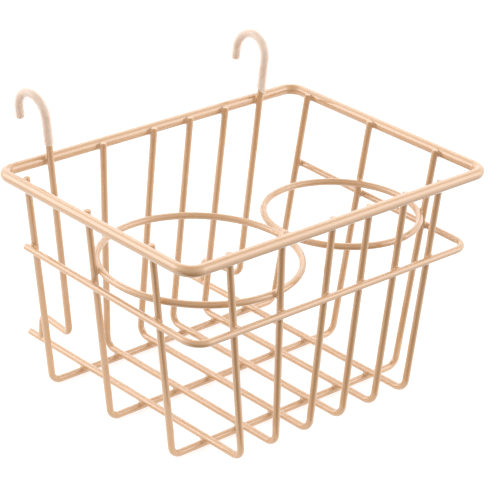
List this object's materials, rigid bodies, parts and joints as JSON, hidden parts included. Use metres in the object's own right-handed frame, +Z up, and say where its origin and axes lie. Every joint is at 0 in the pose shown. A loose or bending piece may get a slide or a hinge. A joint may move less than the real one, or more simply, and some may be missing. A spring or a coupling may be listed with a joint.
{
  "type": "handlebar basket",
  "caption": "Welded wire basket with a heavy rim, a strap around its walls, round cup rings inside, and sleeved hooks at the rear that hang over a bicycle handlebar.",
  "frame": {"origin": "on the ground, in the middle of the whole object's box in X and Y", "axes": "+X to the right along the basket's long side, +Y to the rear, towards the hooks and the handlebar, +Z up"},
  "size_m": [0.2612, 0.225, 0.1989],
  "materials": {
    "coated_wire": "thick glossy tan coating over round steel wire",
    "hook_sleeve": "soft, slightly cloudy vinyl tube that lets the wire's colour through"
  },
  "bodies": {
    "root": {"rim": "coated_wire", "mid_band": "coated_wire", "cross_wire_rear": "coated_wire", "cross_wire_middle": "coated_wire", "cross_wire_front": "coated_wire", "fore_aft_wire_1": "coated_wire", "fore_aft_wire_2": "coated_wire", "fore_aft_wire_3": "coated_wire", "fore_aft_wire_4": "coated_wire", "fore_aft_wire_5": "coated_wire", "fore_aft_wire_6": "coated_wire", "large_cup_ring": "coated_wire", "small_cup_ring": "coated_wire", "hook_wire_left": "coated_wire", "hook_wire_right": "coated_wire", "hook_sleeve_left": "hook_sleeve", "hook_sleeve_right": "hook_sleeve"}
  },
  "joints": []
}
